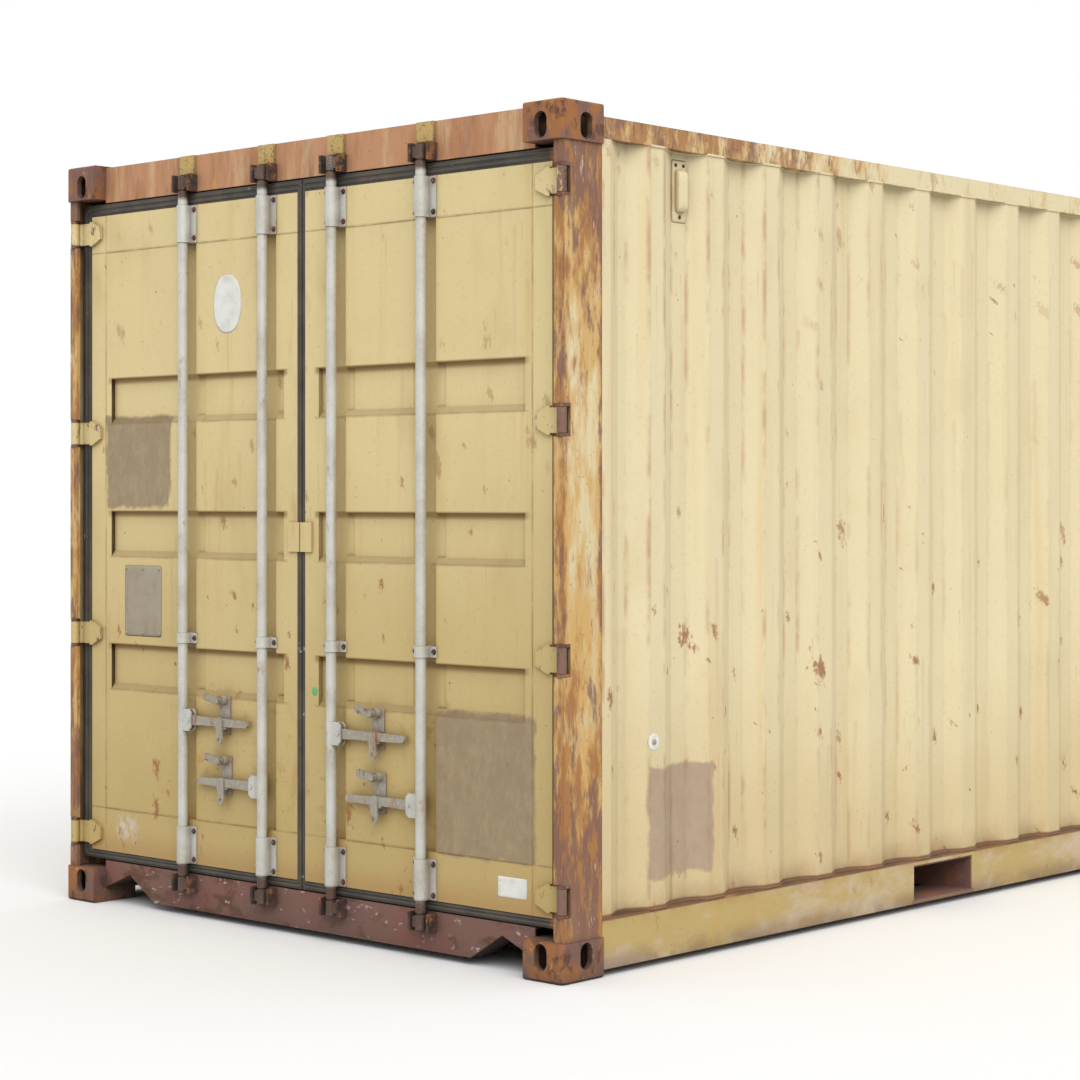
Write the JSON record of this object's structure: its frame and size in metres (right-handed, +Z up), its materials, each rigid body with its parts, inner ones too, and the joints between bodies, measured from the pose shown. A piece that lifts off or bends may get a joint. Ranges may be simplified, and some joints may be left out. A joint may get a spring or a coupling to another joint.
{
  "type": "shipping container",
  "caption": "Steel dry cargo container with corrugated walls, corner castings, fork pockets and double end doors with lock rods, cams and lever handles.",
  "frame": {"origin": "middle of the box's foot on the ground, midway between the four bottom castings", "axes": "+X along the length from the doors to the front wall, +Y to the left leaf's side as seen from outside the doors, +Z up"},
  "size_m": [6.058, 2.438, 2.591],
  "materials": {
    "wall_paint": "faded matt paint with rust spots",
    "rail_paint": "paint broken up by rust",
    "door_paint": "faded matt paint with fine rust marks",
    "header_paint": "thin film of orange rust",
    "sill_paint": "dark red-brown rust",
    "post_paint": "scraped paint over rust",
    "casting": "rusted cast steel",
    "under_paint": "dark primer with dirt",
    "plywood": "worn plywood",
    "gasket": "dull rubber",
    "galvanised": "dull galvanised steel",
    "keeper_steel": "dark rusty forging",
    "lug_steel": "rust brown",
    "catch_steel": "rusty purple-brown steel"
  },
  "bodies": {
    "frame": {"corner_castings_bottom": "casting", "corner_castings_top": "casting", "bottom_side_rails": "wall_paint", "fork_pockets": "under_paint", "cross_members": "under_paint", "floor_boards": "plywood", "top_side_rails": "rail_paint", "side_wall_left": "wall_paint", "side_wall_right": "wall_paint", "front_wall": "wall_paint", "roof": "wall_paint", "rear_posts": "post_paint", "front_posts": "post_paint", "door_sill": "sill_paint", "door_header": "header_paint", "front_sill": "sill_paint", "front_header": "header_paint", "hinge_lugs": "lug_steel", "cam_keepers": "keeper_steel", "vents": "wall_paint"},
    "left_door": {"left_door_frame": "door_paint", "left_door_panel": "door_paint", "left_door_gasket": "gasket", "left_door_hinges": "door_paint", "left_door_rod_brackets": "galvanised", "left_door_handle_retainers": "galvanised", "left_door_meeting_plate": "door_paint"},
    "right_door": {"right_door_frame": "door_paint", "right_door_panel": "door_paint", "right_door_gasket": "gasket", "right_door_hinges": "door_paint", "right_door_rod_brackets": "galvanised", "right_door_handle_retainers": "galvanised", "right_door_meeting_plate": "door_paint"},
    "rod_1": {"lock_rod_1": "galvanised"},
    "lever_1": {"handle_1": "galvanised"},
    "latch_1": {"catch_1": "catch_steel"},
    "rod_2": {"lock_rod_2": "galvanised"},
    "lever_2": {"handle_2": "galvanised"},
    "latch_2": {"catch_2": "catch_steel"},
    "rod_3": {"lock_rod_3": "galvanised"},
    "lever_3": {"handle_3": "galvanised"},
    "latch_3": {"catch_3": "catch_steel"},
    "rod_4": {"lock_rod_4": "galvanised"},
    "lever_4": {"handle_4": "galvanised"},
    "latch_4": {"catch_4": "catch_steel"}
  },
  "joints": [
    {"name": "left_door_swing", "type": "hinge", "parent": "frame", "child": "left_door", "pos_m": [-3.007, 1.196, 1.298], "axis": [0, 0, -1], "range_deg": [0, 265]},
    {"name": "right_door_swing", "type": "hinge", "parent": "frame", "child": "right_door", "pos_m": [-3.007, -1.196, 1.298], "axis": [0, 0, 1], "range_deg": [0, 265]},
    {"name": "lock_rod_1_turn", "type": "hinge", "parent": "left_door", "child": "rod_1", "pos_m": [-3.002, 0.589, 1.302], "axis": [0, 0, 1], "range_deg": [-100, 0]},
    {"name": "handle_1_lift", "type": "hinge", "parent": "rod_1", "child": "lever_1", "pos_m": [-3.002, 0.545, 0.671], "axis": [1, 0, 0], "range_deg": [-12, 0]},
    {"name": "catch_1_swing", "type": "hinge", "parent": "left_door", "child": "latch_1", "pos_m": [-3.019, 0.384, 0.745], "axis": [1, 0, 0], "range_deg": [-100, 0]},
    {"name": "lock_rod_2_turn", "type": "hinge", "parent": "left_door", "child": "rod_2", "pos_m": [-3.002, 0.1715, 1.302], "axis": [0, 0, -1], "range_deg": [-100, 0]},
    {"name": "handle_2_lift", "type": "hinge", "parent": "rod_2", "child": "lever_2", "pos_m": [-3.002, 0.2155, 0.47], "axis": [-1, 0, 0], "range_deg": [-12, 0]},
    {"name": "catch_2_swing", "type": "hinge", "parent": "left_door", "child": "latch_2", "pos_m": [-3.019, 0.3765, 0.544], "axis": [1, 0, 0], "range_deg": [-100, 0]},
    {"name": "lock_rod_3_turn", "type": "hinge", "parent": "right_door", "child": "rod_3", "pos_m": [-3.002, -0.1715, 1.302], "axis": [0, 0, 1], "range_deg": [-100, 0]},
    {"name": "handle_3_lift", "type": "hinge", "parent": "rod_3", "child": "lever_3", "pos_m": [-3.002, -0.2155, 0.671], "axis": [1, 0, 0], "range_deg": [-12, 0]},
    {"name": "catch_3_swing", "type": "hinge", "parent": "right_door", "child": "latch_3", "pos_m": [-3.019, -0.3765, 0.745], "axis": [1, 0, 0], "range_deg": [-100, 0]},
    {"name": "lock_rod_4_turn", "type": "hinge", "parent": "right_door", "child": "rod_4", "pos_m": [-3.002, -0.589, 1.302], "axis": [0, 0, -1], "range_deg": [-100, 0]},
    {"name": "handle_4_lift", "type": "hinge", "parent": "rod_4", "child": "lever_4", "pos_m": [-3.002, -0.545, 0.47], "axis": [-1, 0, 0], "range_deg": [-12, 0]},
    {"name": "catch_4_swing", "type": "hinge", "parent": "right_door", "child": "latch_4", "pos_m": [-3.019, -0.384, 0.544], "axis": [1, 0, 0], "range_deg": [-100, 0]}
  ]
}
